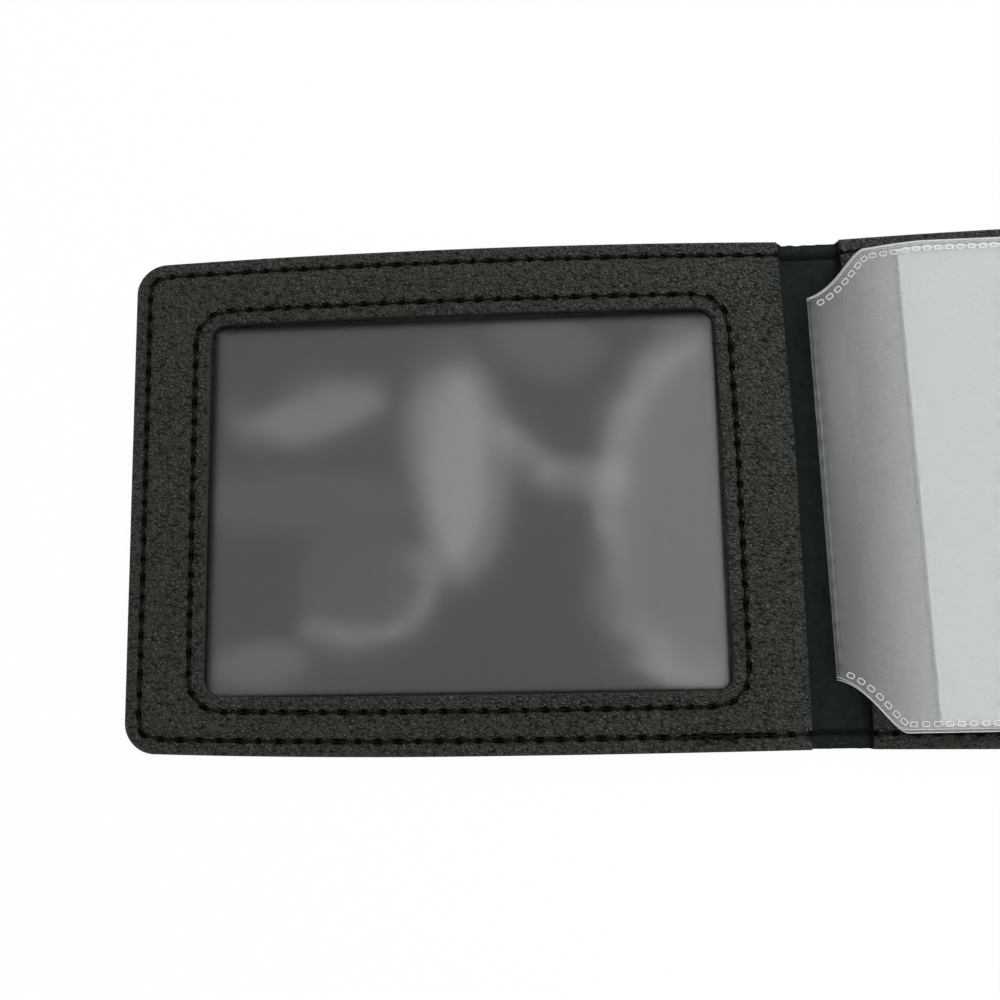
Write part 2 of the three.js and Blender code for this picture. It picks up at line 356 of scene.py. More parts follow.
# Seams
def fill_run(turns):
    """Points one step apart along the straight pieces between some turns."""
    run = []
    for a, b in zip(turns, turns[1:]):
        steps = max(1, round((b - a).length / RUN_STEP))
        run += [a.lerp(b, step / steps) for step in range(steps)]
    return run + [turns[-1]]


def rounded_run(corners, radius):
    """The filled run along some square corners, each turned on a radius."""
    corners = [Vector(corner) for corner in corners]
    turns = [corners[0]]
    for before, corner, after in zip(corners, corners[1:], corners[2:]):
        arrive = (corner - before).normalized()
        leave = (after - corner).normalized()
        centre = corner + (leave - arrive) * radius
        for step in range(CORNER_STEPS + 1):
            turn = math.pi / 2 * step / CORNER_STEPS
            turns.append(centre + (arrive * math.sin(turn) - leave * math.cos(turn)) * radius)
    turns.append(corners[-1])
    return fill_run(turns)


class Seam:
    """A row of stitches along a run of points."""

    def __init__(self, points, pitch=STITCH):
        self.points = points
        self.along = [0.0]
        for a, b in zip(points, points[1:]):
            self.along.append(self.along[-1] + (b - a).length)
        self.stitches = round(self.along[-1] / pitch)
        self.pitch = self.along[-1] / self.stitches
        self.tree = kdtree.KDTree(len(points))
        for i, point in enumerate(points):
            self.tree.insert((point.x, point.y, 0), i)
        self.tree.balance()

    def near(self, place):
        """How far a place is along the seam from the nearest needle hole, and how far off the seam.
        The first is less where the hole is drawn out long."""
        _, i, off = self.tree.find((place.x, place.y, 0))
        holes = self.along[i] / self.pitch
        pull = 1 + HOLE_PULL * math.sin(2.4 * round(holes))
        return abs(holes - round(holes)) * self.pitch * pull, off

    def stitch(self, count):
        """The middle of a stitch and the way that it runs."""
        a, b = (self.points[bisect_left(self.along, (count + end) * self.pitch - 1e-6)] for end in (0, 1))
        return (a + b) / 2, (b - a).normalized()


def edge_seam(side):
    """The seam round a panel's three sewn edges, from foot to head."""
    across = FREE_EDGE - SEAM_INSET
    up = HALF_HEIGHT - SEAM_INSET
    corners = [(SPINE_EDGE, -up), (across, -up), (across, up), (SPINE_EDGE, up)]
    return Seam(rounded_run([(side * x, y) for x, y in corners], CORNER_RADIUS - SEAM_INSET))


def spine_seam(end):
    """The edge seam where it crosses the spine, at its head or its foot."""
    up = end * (HALF_HEIGHT - SEAM_INSET)
    return Seam(rounded_run([(-SPINE_EDGE, up), (SPINE_EDGE, up)], 0))


def window_seam():
    """The seam round the window, from the middle of its foot."""
    left, right = WINDOW_LEFT - WINDOW_SEAM, WINDOW_RIGHT + WINDOW_SEAM
    low, high = WINDOW_LOW - WINDOW_SEAM, WINDOW_HIGH + WINDOW_SEAM
    middle = (left + right) / 2
    corners = [(middle, low), (right, low), (right, high), (left, high), (left, low), (middle, low)]
    return Seam(rounded_run(corners, WINDOW_RADIUS + WINDOW_SEAM))


def sewn_over(seam, first, last):
    """A part of a seam sewn over again, with needle holes halfway between the first."""
    ends = [bisect_left(seam.along, (count + 0.5) * seam.pitch) for count in (first, last)]
    return Seam(seam.points[ends[0]:ends[1] + 1])


SEAM_LEFT = edge_seam(-1)
SEAM_RIGHT = edge_seam(1)
SEAM_HEAD = spine_seam(1)
SEAM_FOOT = spine_seam(-1)
SEAM_WINDOW = window_seam()
SEAM_TACK = sewn_over(SEAM_LEFT, 2, 5)
binding_low, binding_high = node_box("binding_thread")
BINDING_LINE = (binding_low.x + binding_high.x) / 2
SEAM_BINDING = Seam(rounded_run([(BINDING_LINE, binding_low.y), (BINDING_LINE, binding_high.y)], 0))


# Leathercloth
def settle(place):
    """How far a panel is drawn down to the lining beside its three sewn edges."""
    across = CORNER_RADIUS - (FREE_EDGE - abs(place.x))
    up = CORNER_RADIUS - (HALF_HEIGHT - abs(place.y))
    if across > 0 and up > 0:
        inside = CORNER_RADIUS - math.hypot(across, up)
    else:
        inside = CORNER_RADIUS - max(across, up)
    return PANEL_DROP * (1 - smooth(inside / SETTLE_RUN))


def ripple(place):
    """The slight unevenness of a thin leathercloth sheet."""
    return RIPPLE * wave(place.x / RIPPLE_RUN, place.y / RIPPLE_RUN, 2.5)


def sewn_face(name, side, top):
    """The face of a leathercloth piece, with round corners, a turned edge and a pressed seam."""
    left = SPINE_EDGE - RUN_OUT if side > 0 else -FREE_EDGE
    right = RUN_OUT - SPINE_EDGE if side < 0 else FREE_EDGE
    outline = top - sum(rise for _, rise in EDGE_ROUND)
    piece = start_sheet(name, ((left + right) / 2, 0, outline), right - left, 2 * HALF_HEIGHT)
    round_corners(CORNER_RADIUS, test=lambda point: abs(point.co.x) > FREE_EDGE - 1)
    shorten_edges(OUTLINE_STEP)
    lip = SEAM_INSET - total_width(EDGE_ROUND + SEAM_PRESS)
    inset_bands(EDGE_ROUND + [(lip / 2, 0)] * 2 + SEAM_PRESS + mirrored(SEAM_PRESS) + FACE_BORDER)
    if side:
        bpy.ops.mesh.select_all(action="SELECT")
        bpy.ops.mesh.bisect(plane_co=(side * SPINE_EDGE, 0, 0), plane_no=(-side, 0, 0), clear_outer=True)
        shorten_edges(1)
    return piece


def window_rim(top):
    """The band of leathercloth round the window, with a pressed seam and a turned edge."""
    reach = WINDOW_SEAM + total_width(SEAM_PRESS) + RIM_BORDER
    across = WINDOW_RIGHT - WINDOW_LEFT + 2 * reach
    up = WINDOW_HIGH - WINDOW_LOW + 2 * reach
    middle = ((WINDOW_LEFT + WINDOW_RIGHT) / 2, (WINDOW_LOW + WINDOW_HIGH) / 2, top)
    piece = start_sheet("window_rim", middle, across, up)
    round_corners(WINDOW_RADIUS + reach)
    shorten_edges(OUTLINE_STEP)
    lip = WINDOW_SEAM - total_width(EDGE_ROUND + SEAM_PRESS)
    bands = [(RIM_BORDER, 0)] + SEAM_PRESS + mirrored(SEAM_PRESS) + [(lip / 2, 0)] * 2
    inset_bands(bands + mirrored(EDGE_ROUND))
    bpy.ops.mesh.delete(type="FACE")
    close()
    return piece


def add_wall(base, holed=False):
    """Draws the open edges down to a base and closes the underside."""
    choose("EDGE", lambda edge: edge.is_boundary)
    bpy.ops.mesh.extrude_region_move(TRANSFORM_OT_translate={"value": (0, 0, -1)})
    bpy.ops.transform.resize(value=(1, 1, 0), center_override=(0, 0, base))
    if holed:
        bpy.ops.mesh.fill()
    else:
        bpy.ops.mesh.edge_face_add()
    face_outwards()


def mark_cut_edges(piece):
    """Gives the upright faces of a piece its second finish."""
    for face in piece.data.polygons:
        face.material_index = 1 if abs(face.normal.z) < 0.5 else 0


def press_holes(piece, seams, base):
    """Draws the face in at each needle hole, and notes for the finish how deep each point is drawn in.
    The finish paints shade by this mark: black in the holes, fainter along the channel between them.
    """
    for vertex, mark in marked_points(piece, "pressed_and_shaded"):
        if vertex.co.z < base + 0.05:
            continue
        for seam in seams:
            along, off = seam.near(vertex.co)
            hole = bell(along, HOLE_LENGTH) * bell(off, HOLE_WIDTH)
            vertex.co.z -= HOLE_DEPTH * hole
            # The mark sets painted shade: full in each hole, fainter along the seam's channel.
            mark.value = max(mark.value, hole, CHANNEL_SHADE * bell(off, CHANNEL_WIDTH))


def lay_panel(piece):
    """Lets a panel down on the lining along its seams, with a slight ripple elsewhere."""
    for vertex in piece.data.vertices:
        vertex.co.z += ripple(vertex.co) - settle(vertex.co)
    bow_edges(piece)


def make_window_panel(leather, cut_edge):
    """The panel with the window, sewn on three sides, its spine side open for a card."""
    top, base = panel_high.z, panel_low.z
    rim = window_rim(top)
    panel = sewn_face("window_panel_leathercloth", -1, top)
    middle = max(editing().faces, key=lambda face: face.calc_area())
    ends = lambda edge: frozenset(point.co.to_tuple(4) for point in edge.verts)
    frame_edges = {ends(edge) for edge in middle.edges}
    choose("FACE", lambda face: face.calc_area() > 100)
    bpy.ops.mesh.delete(type="ONLY_FACE")
    close()
    rim.select_set(True)
    panel.select_set(True)
    bpy.context.view_layer.objects.active = panel
    bpy.ops.object.join()
    bpy.ops.object.mode_set(mode="EDIT")
    in_rim = lambda edge: edge.is_boundary and all(abs(point.co.z - top) < 1e-4 for point in edge.verts)
    in_frame = lambda edge: ends(edge) in frame_edges
    near_window = lambda edge: all(WINDOW_LEFT - 6 < point.co.x < WINDOW_RIGHT + 6 for point in edge.verts)
    choose("EDGE", lambda edge: in_frame(edge) or (in_rim(edge) and near_window(edge)))
    bpy.ops.mesh.fill()
    add_wall(base, holed=True)
    close()
    press_holes(panel, [SEAM_LEFT, SEAM_WINDOW, SEAM_TACK], base)
    mark_cut_edges(panel)
    lay_panel(panel)
    lean_spine_side(panel)
    hand_over(panel, [leather, cut_edge], ["window_panel"], "left_cover")


def make_pocket_panel(leather, cut_edge):
    """The plain panel, sewn on three sides, its spine side open as a pocket."""
    panel = sewn_face("pocket_panel_leathercloth", 1, panel_high.z)
    add_wall(panel_low.z)
    close()
    press_holes(panel, [SEAM_RIGHT], panel_low.z)
    mark_cut_edges(panel)
    lay_panel(panel)
    hand_over(panel, [leather, cut_edge], ["pocket_panel"], "right_cover")


def draw_in_spine(piece):
    """Draws in the ends of the spine, where the soft material puckers along the seam."""
    for vertex in piece.data.vertices:
        across = 1 - min(1, abs(vertex.co.x) / SPINE_EDGE) ** 12
        reach = smooth((abs(vertex.co.y) - HALF_HEIGHT + DRAW_RUN) / DRAW_RUN)
        depth = HEAD_DRAW if vertex.co.y > 0 else FOOT_DRAW
        uneven = 1 + 0.4 * wave(vertex.co.x * 0.9, math.copysign(3, vertex.co.y), 0)
        vertex.co.y -= math.copysign(depth, vertex.co.y) * uneven * across * reach


def spine_cuts():
    """Where a piece is cut across the spine."""
    count = round(2 * SPINE_EDGE / SPINE_STEP)
    return [SPINE_EDGE * (2 * i / count - 1) for i in range(count + 1)]


def press_binding(piece):
    """Presses the binding's seam into the spine."""
    for vertex in piece.data.vertices:
        if vertex.co.z > -0.05:
            inside = min(vertex.co.y - binding_low.y, binding_high.y - vertex.co.y)
            groove = bell(vertex.co.x - BINDING_LINE, BINDING_GROOVE)
            vertex.co.z -= BINDING_PRESS * groove * smooth(inside + 0.6)


def make_outer_cover(leather, cut_edge):
    """The outer cover, in one piece over both halves and the spine.
    Its grained face is modelled upwards, then turned down."""
    thickness = cover_high.z - cover_low.z
    cover = sewn_face("outer_cover_leathercloth", 0, 0)
    add_wall(-thickness)
    cut_across(spine_cuts() + [BINDING_LINE + off for off in GROOVE_CUTS])
    choose("FACE", lambda face: abs(face.calc_center_median().x) < SPINE_EDGE)
    for y in (-binding_high.y - 0.5, -binding_high.y, -binding_low.y, -binding_low.y + 0.5):
        bpy.ops.mesh.bisect(plane_co=(0, y, 0), plane_no=(0, 1, 0))
    close()
    press_holes(cover, [SEAM_LEFT, SEAM_RIGHT, SEAM_HEAD, SEAM_FOOT], -thickness)
    press_binding(cover)
    mark_cut_edges(cover)
    cover.data.transform(Matrix.Rotation(math.pi, 4, "X"))
    draw_in_spine(cover)
    bow_edges(cover)
    hand_over(cover, [leather, cut_edge], ["cover_left", "cover_right"])


# Lining
def make_lining(cloth):
    """The lining, one sheet of cloth over both halves, which shows bare along the spine."""
    thickness = lining_high.z - lining_low.z
    lining = start_sheet("lining_cloth_sheet", (0, 0, lining_low.z), 2 * FREE_EDGE, 2 * HALF_HEIGHT)
    round_corners(CORNER_RADIUS)
    inset_bands([(SEAM_INSET - 1.4, 0)] + [(HEM_CUT, 0)] * HEM_CUTS + [(0.6, 0)])
    cut_across(spine_cuts())
    close()
    for vertex, mark in marked_points(lining, "pressed_and_shaded"):
        along, off = min((SEAM_HEAD.near(vertex.co), SEAM_FOOT.near(vertex.co)), key=lambda near: near[1])
        bare = smooth((SPINE_EDGE - 0.2 - abs(vertex.co.x)) / 1.2)
        # Painted shade along the seam's groove over the spine: the finish turns the cloth black there.
        mark.value = bell(off, 0.55)
        hem = HEM_RISE * bell(off - HEM_OFF, HEM_WIDTH) * (1 - 0.4 * bell(along, 0.6))
        vertex.co.z += bare * (hem - 0.04 * bell(off, 0.4))
    draw_in_spine(lining)
    bow_edges(lining)
    apply_modifier(lining, "SOLIDIFY", thickness=thickness, offset=1)
    hand_over(lining, [cloth], ["lining_left", "lining_right"])


def make_fibres(fibre_finish):
    """Loose fibres along the lining's cut ends at the spine, which lie back over the cloth."""
    radii = {"radius1": FIBRE_ROOT, "radius2": FIBRE_TIP}
    fibre = start(bpy.ops.mesh.primitive_cone_add, "fibre", vertices=4, depth=1, **radii)
    for cut in (-0.2, 0.15):
        bpy.ops.mesh.select_all(action="SELECT")
        bpy.ops.mesh.bisect(plane_co=(0, 0, cut), plane_no=(0, 0, 1))
    close()
    for vertex in fibre.data.vertices:
        vertex.co.x += 0.35 * (vertex.co.z + 0.5) ** 2
        vertex.co.z += 0.5
    chance = random.Random(11)
    placements = []
    for end, count, most in FIBRE_ROWS:
        for _ in range(count):
            x = chance.triangular(-0.93, 0.93, most) * SPINE_EDGE
            place = Vector((x, end * (HALF_HEIGHT - chance.uniform(0.1, 0.9)), lining_high.z))
            turn = Matrix.Rotation(end * math.radians(chance.uniform(*FIBRE_TILT)), 4, "X")
            spread = Matrix.Rotation(math.radians(chance.uniform(-65, 65)), 4, "Z")
            roll = Matrix.Rotation(chance.uniform(0, 6.28), 4, "Z")
            length = Matrix.Scale(chance.uniform(*FIBRE_LENGTH), 4)
            placements.append(Matrix.Translation(place) @ spread @ turn @ roll @ length)
    tufts = copy_along("lining_fibres", fibre, placements)
    bpy.data.objects.remove(fibre)
    draw_in_spine(tufts)
    hand_over(tufts, [fibre_finish])


# Sewing thread
def model_stitch():
    """One stitch, full in the middle and drawn down into a needle hole at each end."""
    half = STITCH * 0.48
    stitch = start(bpy.ops.mesh.primitive_uv_sphere_add, "stitch", segments=8, ring_count=9, radius=1)
    bpy.ops.transform.rotate(value=math.pi / 2, orient_axis="Y", center_override=(0, 0, 0))
    bpy.ops.transform.resize(value=(half, THREAD * 0.4, THREAD * 0.4))
    close()
    for vertex in stitch.data.vertices:
        share = min(1, abs(vertex.co.x) / half)
        fuller = math.sqrt(1 - share**4) / math.sqrt(1 - share**2) if share < 0.999 else 1
        vertex.co.y *= fuller
        vertex.co.z = vertex.co.z * fuller - STITCH_SINK * share**3
    return stitch


def placement(place, run, height, over=1):
    """Where a copy lies: its place in plan, its run, its height, and 1 or -1 for face up or down."""
    turn = Matrix(((run.x, -over * run.y, 0), (run.y, over * run.x, 0), (0, 0, over))).to_4x4()
    return Matrix.Translation((place.x, place.y, height)) @ turn


def copy_along(name, model, placements):
    """One piece made of copies of a small model, which is left for its maker to remove."""
    mesh = bmesh.new()
    for matrix in placements:
        before = len(mesh.verts)
        mesh.from_mesh(model.data)
        mesh.verts.ensure_lookup_table()
        bmesh.ops.transform(mesh, matrix=matrix, verts=mesh.verts[before:])
    row = bpy.data.objects.new(name, bpy.data.meshes.new(name))
    mesh.to_mesh(row.data)
    mesh.free()
    bpy.context.scene.collection.objects.link(row)
    return row


def stitch_places(seams, height, over):
    """The placements of every stitch of some seams, each a little off the line."""
    places = []
    for seam in seams:
        for count in range(seam.stitches):
            place, run = seam.stitch(count)
            stray = STITCH_STRAY * wave(place.x, place.y, 7)
            across = Vector((-run.y, run.x))
            places.append(placement(place + across * stray, run + across * stray, height(place), over))
    return places


def back_tack(seam, height):
    """Where the edge seam was sewn over again beside the spine, with its two cut thread ends."""
    places = []
    for count, off in TACK_STITCHES:
        place, run = seam.stitch(count)
        across = Vector((-run.y, run.x))
        place = place + run * seam.pitch / 2 + across * off
        places.append(placement(place, (run + across * off).normalized(), height(place) + 0.08))
    for count, turn, length in CUT_ENDS:
        place, run = seam.stitch(count)
        tail = Matrix.Rotation(turn, 2) @ -run
        place = place - run * seam.pitch / 2 + tail * length * STITCH * 0.45
        places.append(placement(place, tail, height(place) + 0.22) @ Matrix.Diagonal((length, 2, 1.4, 1)))
    return places


def make_stitches(thread):
    """The rows of stitches on the panels, round the window, over the spine, on the binding and outside."""
    stitch = model_stitch()
    channel = sum(rise for _, rise in SEAM_PRESS)
    on_panel = lambda place: panel_high.z + channel + THREAD * 0.35 - settle(place) + ripple(place)
    on_lining = lambda place: lining_high.z + 0.08
    on_binding = lambda place: binding_high.z - THREAD
    under_cover = lambda place: cover_low.z - channel - THREAD * 0.5
    behind_film = lambda place: film_low.z - 0.1
    spine = [SEAM_HEAD, SEAM_FOOT]
    rows = [
        ("edge_stitches_left", [SEAM_LEFT], on_panel, 1, "left_cover", ["seam_thread_left"]),
        ("edge_stitches_right", [SEAM_RIGHT], on_panel, 1, "right_cover", ["seam_thread_right"]),
        ("window_stitches", [SEAM_WINDOW], on_panel, 1, "left_cover", ["window_thread"]),
        ("under_stitches_left", [SEAM_LEFT], under_cover, -1, "left_cover", ["seam_underthread_left"]),
        ("under_stitches_right", [SEAM_RIGHT], under_cover, -1, "right_cover", ["seam_underthread_right"]),
        ("window_under_stitches", [SEAM_WINDOW], behind_film, -1, "left_cover", ["window_underthread"]),
        ("spine_stitches", spine, on_lining, 1, None, []),
        ("spine_under_stitches", spine, under_cover, -1, None, []),
        ("binding_stitches", [SEAM_BINDING], on_binding, 1, None, ["binding_thread"]),
        ("binding_under_stitches", [SEAM_BINDING], under_cover, -1, None, ["binding_underthread"]),
    ]
    for name, seams, height, over, body, nodes in rows:
        places = stitch_places(seams, height, over)
        if name == "edge_stitches_left":
            places += back_tack(SEAM_LEFT, height)
        row = copy_along(name, stitch, places)
        if seams is spine:
            draw_in_spine(row)
        bow_edges(row)
        if name in ("edge_stitches_left", "window_stitches"):
            lean_spine_side(row)
        hand_over(row, [thread], nodes, body, angle=60)
    bpy.data.objects.remove(stitch)


# Clear film
def film_grid(name, grid, place, thickness, cut_rows=1):
    """A thin film: a grid whose points are placed by their shares across and up, then given its thickness.
    Its outermost rows at the foot and head and its rim take the second finish, that of a cut edge."""
    columns, rows = grid
    film = start(bpy.ops.mesh.primitive_grid_add, name, x_subdivisions=columns, y_subdivisions=rows, size=1)
    close()
    for face in film.data.polygons:
        face.material_index = 1 if abs(face.center.y) > 0.5 - cut_rows / rows else 0
    for vertex in film.data.vertices:
        vertex.co = place(vertex.co.x + 0.5, vertex.co.y + 0.5)
    apply_modifier(film, "SOLIDIFY", thickness=thickness, offset=0, material_offset_rim=1)
    return film


def dull_and_shade_film(piece, share):
    """Notes for the finish how dull each point of a film is. Dull places lose gloss and haze: painted shade
    under the window's rim and at the leaves' puckers, fainter weld marks where there is no pocket film,
    and a binding margin with neither.
    """
    for vertex, mark in marked_points(piece, "dull"):
        mark.value = share(vertex.co)


def under_rim(place):
    """How far the window's rim shades the film next to it, most at the head and on the left."""
    left, right = place.x - WINDOW_LEFT, WINDOW_RIGHT - place.x
    low, high = place.y - WINDOW_LOW, WINDOW_HIGH - place.y
    narrow = max(bell(right, RIM_SHADE), bell(low, RIM_SHADE))
    return max(narrow, bell(left, RIM_SHADE_WIDE), bell(high, RIM_SHADE_WIDE))


def make_window_film(film, film_edge):
    """The film behind the window, slightly cockled where its seam draws it."""
    middle = (film_low.z + film_high.z) / 2

    def place(across, up):
        x = film_low.x + (film_high.x - film_low.x) * across
        y = film_low.y + (film_high.y - film_low.y) * up
        return Vector((x, y, middle + film_cockle(x, y)))

    piece = film_grid("window_film_clear", WINDOW_GRID, place, film_high.z - film_low.z)
    dull_and_shade_film(piece, under_rim)
    hand_over(piece, [film, film_edge], ["window_film"], "left_cover")


def film_cockle(x, y):
    """How far the window's film lies off flat: low swellings that die out under the panel."""
    inside = min(x - WINDOW_LEFT, WINDOW_RIGHT - x, y - WINDOW_LOW, WINDOW_HIGH - y)
    swell = COCKLE * wave(x / 19, y / 22, 4.2) + 0.4 * COCKLE * wave(x / 9, y / 8, 1.3)
    return swell * smooth(inside / 8 + 0.2)


def shoulder(x):
    """The share of the S-shaped shoulder's rise that is reached at a distance from the spine."""
    share = min(1, max(0, (x - OGEE_START) / OGEE_RUN))
    curve = lambda t, b, c: 3 * b * t * (1 - t) ** 2 + 3 * c * t * t * (1 - t) + t**3
    (out_near, up_near), (out_far, up_far) = OGEE_TURNS
    low, high = 0.0, 1.0
    for _ in range(24):
        t = (low + high) / 2
        low, high = (t, high) if curve(t, out_near, out_far) < share else (low, t)
    return curve(t, up_near, up_far)


def leaf_limits(x, low, high):
    """The foot and head of a leaf at a distance from the spine: shoulders at the spine, round corners at
    the free edge. Past its shoulder the head still rises a little."""
    draw = OGEE_RISE * (1 - shoulder(x))
    into_corner = max(0, x - (high.x - LEAF_CORNER_RADIUS))
    draw += LEAF_CORNER_RADIUS - math.sqrt(max(0, LEAF_CORNER_RADIUS**2 - into_corner**2))
    roll = HEAD_ROLL * min(1, max(0, 2 - x / OGEE_RUN)) ** 1.5
    return low.y + draw, high.y - draw - roll


def leaf_lean(place):
    """Where a point of a leaf lies: the leaves are sewn in a little askew."""
    return Vector((place.x + LEAF_SHIFT - LEAF_LEAN * place.y, place.y + LEAF_CLIMB * place.x, place.z))


def banded(share, count, low, high, band):
    """A place between two limits, with a narrow band next to each limit and even steps between."""
    step = round(share * count)
    if step in (0, count):
        return low if step == 0 else high
    return low + band + (high - low - 2 * band) * (step - 1) / (count - 2)


def pucker(y):
    """How hard the binding's stitches draw the leaves' fold down: 1 at a needle hole.
    It only sets the painted shade of the puckers; the fold itself is not moved.
    """
    holes = (y - binding_low.y) / SEAM_BINDING.pitch
    inside = binding_low.y - 1 < y < binding_high.y + 1
    return bell((holes - round(holes)) * SEAM_BINDING.pitch, 0.7) if inside else 0


def leaf_cockle(x, y):
    """How far a leaf lies off flat between the fold and its free edge."""
    return COCKLE * wave(x / 24, y / 30, 6.1) * smooth((x - FOLD_RUN) / 6)


def make_leaf(number, body, lift, film, film_edge, weld):
    """One leaf: a clear sheet that bends up from the spine, a pocket film on each face, and their welds."""
    leaf = f"leaf_{number}"
    low, high = node_box(f"{leaf}_sheet")
    low.y += lift
    high.y += lift
    middle = (low.z + high.z) / 2
    thickness = high.z - low.z
    root = min(LEAF_ROOT, middle - 0.15) - middle
    front = node_box(f"{leaf}_front_film")
    mouth = front[0].x
    columns, rows = SHEET_GRID

    def bend(x):
        into_fold = min(1, max(0, 1 - (x - LEAF_FOLD) / FOLD_RUN))
        return root * (1 - math.sqrt(1 - into_fold**2))

    def sheet_place(across, up):
        column = round(across * columns) - FOLD_COLUMNS
        share = max(0, column / (columns - FOLD_COLUMNS))
        even = 0.35 * share + 0.65 * (1 - math.cos(math.pi * share)) / 2
        x = LEAF_FOLD + FOLD_RUN * min(0, column) / FOLD_COLUMNS + FOLD_RUN
        x += even * (high.x - LEAF_FOLD - FOLD_RUN)
        foot, head = leaf_limits(x, low, high)
        slope = (leaf_limits(x + 0.05, low, high)[1] - leaf_limits(x - 0.05, low, high)[1]) / 0.1
        y = banded(up, rows, foot, head, EDGE_BAND * min(3, math.hypot(1, slope)))
        return leaf_lean(Vector((x, y, middle + bend(x) + leaf_cockle(x, y))))

    # Painted shade at the puckers: the fold goes dull at each of the binding's needle holes.
    def shade_at_puckers(place):
        off_fold = place.x + LEAF_LEAN * place.y - LEAF_SHIFT - LEAF_FOLD - FOLD_RUN
        return PUCKER_SHADE * pucker(place.y) * bell(off_fold, 0.7)

    sheet = film_grid(f"{leaf}_sheet_clear", SHEET_GRID, sheet_place, thickness)
    # The sheet takes painted shade at its puckers.
    dull_and_shade_film(sheet, shade_at_puckers)
    hand_over(sheet, [film, film_edge], [f"{leaf}_sheet"], body)
    for face in ("front", "back"):
        bottom, top = node_box(f"{leaf}_{face}_film")

        def film_place(across, up):
            even = 0.4 * across + 0.6 * (1 - math.cos(math.pi * across)) / 2
            x = mouth + (high.x - FILM_SHORT - mouth) * even
            foot, head = leaf_limits(x + FILM_SHORT * across, low, high)
            y = banded(up, FILM_GRID[1], foot + FILM_SHORT, head - FILM_SHORT, EDGE_BAND)
            return leaf_lean(Vector((x, y, (bottom.z + top.z) / 2 + leaf_cockle(x, y))))

        piece = film_grid(f"{leaf}_{face}_film_clear", FILM_GRID, film_place, top.z - bottom.z)
        hand_over(piece, [film, film_edge], [f"{leaf}_{face}_film"], body)
    top_face = lambda x: front[1].z if x > mouth else middle + thickness / 2 + bend(x)
    rise = Vector((0, lift, 0))
    marks = make_welds(leaf, low - rise, high - rise, top_face)
    dull_and_shade_film(marks, lambda place: 0 if place.x > mouth else BARE_WELD)
    hand_over(marks, [weld], body=body)


def model_weld():
    """One weld mark: the raised rim of a small rounded square."""
    mark = start_sheet("weld_mark", (0, 0, 0), WELD_LENGTH, WELD_WIDTH)
    round_corners(WELD_ROUND, segments=2)
    inset_bands([(WELD_RIM, 0)])
    bpy.ops.mesh.delete(type="FACE")
    choose("FACE", lambda face: True)
    bpy.ops.mesh.extrude_region_move(TRANSFORM_OT_translate={"value": (0, 0, WELD_RISE)})
    face_outwards()
    close()
    return mark


def make_welds(leaf, low, high, top_face):
    """The row of weld marks that joins a leaf's films, along all its edges but the fold."""
    xs = [LEAF_START + (high.x - LEAF_START) * (1 - math.cos(math.pi * i / 900)) / 2 for i in range(901)]
    limits = [leaf_limits(x, low, high) for x in xs]
    outline = [Vector((x, head)) for x, (_, head) in zip(xs, limits)]
    outline += [Vector((x, foot)) for x, (foot, _) in reversed(list(zip(xs, limits)))]
    inner = []
    for before, after in zip(outline, outline[2:]):
        run = (after - before).normalized()
        inner.append((before + after) / 2 + Vector((run.y, -run.x)) * WELD_INSET)
    row = Seam(fill_run(inner), WELD_PITCH)
    places = []
    for count in range(row.stitches):
        place, run = row.stitch(count)
        at = leaf_lean(Vector((place.x, place.y, top_face(place.x) + leaf_cockle(place.x, place.y))))
        places.append(placement(at, run, at.z))
    mark = model_weld()
    marks = copy_along(f"{leaf}_welds", mark, places)
    bpy.data.objects.remove(mark)
    return marks


def make_binding(film, film_edge):
    """The leaves' sewn margin: a foot on the lining under the binding's seam, and a web up to the fold."""
    low, high = node_box("binding_margin")
    foot_z = low.z + MARGIN_THICKNESS / 2
    web = LEAF_ROOT - foot_z
    length = web + high.x

    def place(across, up):
        y = low.y + (high.y - low.y) * up
        down = across * length
        fold = LEAF_SHIFT + LEAF_FOLD - LEAF_LEAN * y + 0.15
        if down < web:
            share = down / web
            return Vector((fold * (1 - share) ** 2, y, LEAF_ROOT - down))
        return Vector((down - web, y, foot_z))

    margin = film_grid("binding_margin_clear", MARGIN_GRID, place, MARGIN_THICKNESS, cut_rows=0)
    dull_and_shade_film(margin, lambda place: 1)
    hand_over(margin, [film, film_edge], ["binding_margin"])


# Finishes
def linear(colour):
    """An sRGB hex colour as linear red, green, blue and alpha."""
    channels = [int(colour[i:i + 2], 16) / 255 for i in (1, 3, 5)]
    return [c / 12.92 if c <= 0.04045 else ((c + 0.055) / 1.055) ** 2.4 for c in channels] + [1]


def per_mm(size):
    """A texture's scale for a pattern of a size in millimetres."""
    return 1 / (size * MM)


def add_node(tree, kind, inputs, out=0, **settings):
    """Adds a node with its settings, its inputs linked or set to values, and gives one of its outputs."""
    new = tree.nodes.new(f"ShaderNode{kind}")
    for name, value in settings.items():
        setattr(new, name, value)
    for name, value in inputs.items():
        if isinstance(value, bpy.types.NodeSocket):
            tree.links.new(value, new.inputs[name])
        else:
            new.inputs[name].default_value = value
    return new.outputs[out]


def add_sum(add, operation, *values):
    """One step of reckoning with sockets or values."""
    return add("Math", dict(enumerate(values)), operation=operation)


def add_mix(add, share, first, second):
    """A colour between two others."""
    return add("Mix", {0: share, 6: first, 7: second}, 2, data_type="RGBA")


def add_mark(add, name):
    """What was noted on each point of a piece."""
    return add("Attribute", {}, "Fac", attribute_name=name)


def clear_nodes(owner):
    """A material or world without nodes, and the function that adds one to it."""
    owner.use_nodes = True
    owner.node_tree.nodes.clear()
    return owner, partial(add_node, owner.node_tree)


def new_finish(name):
    """A material without nodes, and the function that adds one to it."""
    return clear_nodes(bpy.data.materials.new(name))


